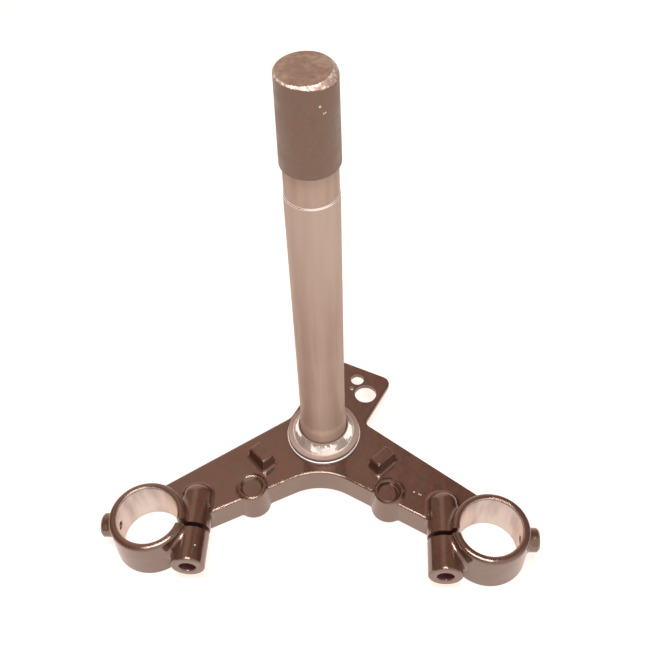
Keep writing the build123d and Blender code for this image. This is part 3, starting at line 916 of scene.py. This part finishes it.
class CLAMP_OT_stem(bpy.types.Operator):
    """Turns the steel stem with its bearing seat and its reduced end"""
    bl_idname = "clamp.stem"
    bl_label = "Turn Stem"

    def execute(self, context):
        given = context.scene.clamp.stem
        neck = given.radius - given.end_radius
        low, high = STEM_LOW.z, STEM_HIGH.z
        corners = [
            (given.bore_radius, low), (given.seat_radius - given.chamfer, low),
            (given.seat_radius, low + given.chamfer), (given.seat_radius, given.seat_top),
            (given.radius, given.seat_top + given.seat_fade), (given.radius, given.end_height - neck),
            (given.end_radius, given.end_height), (given.end_radius, high - given.chamfer),
            (given.end_radius - given.chamfer, high), (given.bore_radius, high)]
        radii = np.full(len(corners), given.edge)
        # The two corners where the seat narrows are rounder
        radii[3:5] = given.seat_ease * given.seat_fade
        profile = eased_profile(corners, radii, steps=12)
        mesh = turned_mesh("stem_shaft", profile[:, 0], profile[:, 1], given.around)
        place_piece("stem_shaft", mesh, stem_material(given), "steering_stem")
        return {"FINISHED"}


class CLAMP_OT_cone(bpy.types.Operator):
    """Turns the bearing cone with its ball track, and the dust seal under it"""
    bl_idname = "clamp.cone"
    bl_label = "Turn Cone And Seal"

    def execute(self, context):
        given = context.scene.clamp.cone
        seat = context.scene.clamp.stem.seat_radius
        rim, low, high = CONE_HIGH.x, CONE_LOW.z, CONE_HIGH.z
        foot, shelf = rim - given.shelf, low + given.rim_height
        profile = eased_profile(
            [(seat, low), (rim, low), (rim, shelf), (foot, shelf), (seat + given.lip, high),
             (seat + given.mouth, high), (seat, high - given.mouth)],
            [0.0, given.under_edge, given.rim_edge, given.hollow, given.lip_edge, 0.0, 0.0], steps=12)
        mesh = turned_mesh("cone_track", profile[:, 0], profile[:, 1], given.around)
        place_piece("cone_track", mesh, cone_material(given, seat), "bearing_cone")
        edge = eased_profile(
            [(seat, SEAL_LOW.z), (SEAL_HIGH.x, SEAL_LOW.z), (SEAL_HIGH.x, SEAL_HIGH.z), (seat, SEAL_HIGH.z)],
            [0.0, given.seal_edge, given.seal_edge, 0.0])
        mesh = turned_mesh("seal_washer", edge[:, 0], edge[:, 1], given.around)
        place_piece("seal_washer", mesh, seal_material(given), "dust_seal")
        return {"FINISHED"}


class CLAMP_OT_cap(bpy.types.Operator):
    """Forms the cap with its unevenly worn rim"""
    bl_idname = "clamp.cap"
    bl_label = "Form Cap"

    def execute(self, context):
        given = context.scene.clamp.cap
        place_piece("cap_cup", cap_mesh(given), cap_material(given), "thread_cap")
        return {"FINISHED"}


class CLAMP_OT_stage(bpy.types.Operator):
    """Lays the pale floor and sets up the softbox, the room and the camera"""
    bl_idname = "clamp.stage"
    bl_label = "Set Up Stage"

    def execute(self, context):
        given = context.scene.clamp.stage
        lay_floor(given)
        hang_softbox(given)
        context.scene.world = dim_room(given)
        context.scene.camera = aimed_camera(given)
        context.scene.view_settings.view_transform = "Standard"
        return {"FINISHED"}


OPERATORS = (CLAMP_OT_yoke, CLAMP_OT_lump, CLAMP_OT_stem, CLAMP_OT_cone, CLAMP_OT_cap, CLAMP_OT_stage)


class CLAMP_PT_panel(bpy.types.Panel):
    """Lists the steps of the dressing"""
    bl_idname = "CLAMP_PT_panel"
    bl_label = "Triple Clamp"
    bl_space_type = "VIEW_3D"
    bl_region_type = "UI"
    bl_category = "Triple Clamp"

    def draw(self, context):
        for operator in OPERATORS:
            self.layout.operator(operator.bl_idname)


CLASSES = (YokeSettings, LumpSettings, StemSettings, ConeSettings, CapSettings, StageSettings, ClampSettings,
           *OPERATORS, CLAMP_PT_panel)


def register():
    """Adds the classes and the settings to Blender."""
    for each in CLASSES:
        bpy.utils.register_class(each)
    bpy.types.Scene.clamp = PointerProperty(
        name="Triple clamp", description="Settings of the triple clamp", type=ClampSettings)


def unregister():
    """Takes the settings and the classes out of Blender again."""
    del bpy.types.Scene.clamp
    for each in reversed(CLASSES):
        bpy.utils.unregister_class(each)


def main():
    """Registers the add-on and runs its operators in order."""
    register()
    bpy.ops.clamp.yoke()
    bpy.ops.clamp.lump()
    bpy.ops.clamp.stem()
    bpy.ops.clamp.cone()
    bpy.ops.clamp.cap()
    bpy.ops.clamp.stage()


if __name__ == "__main__":
    main()
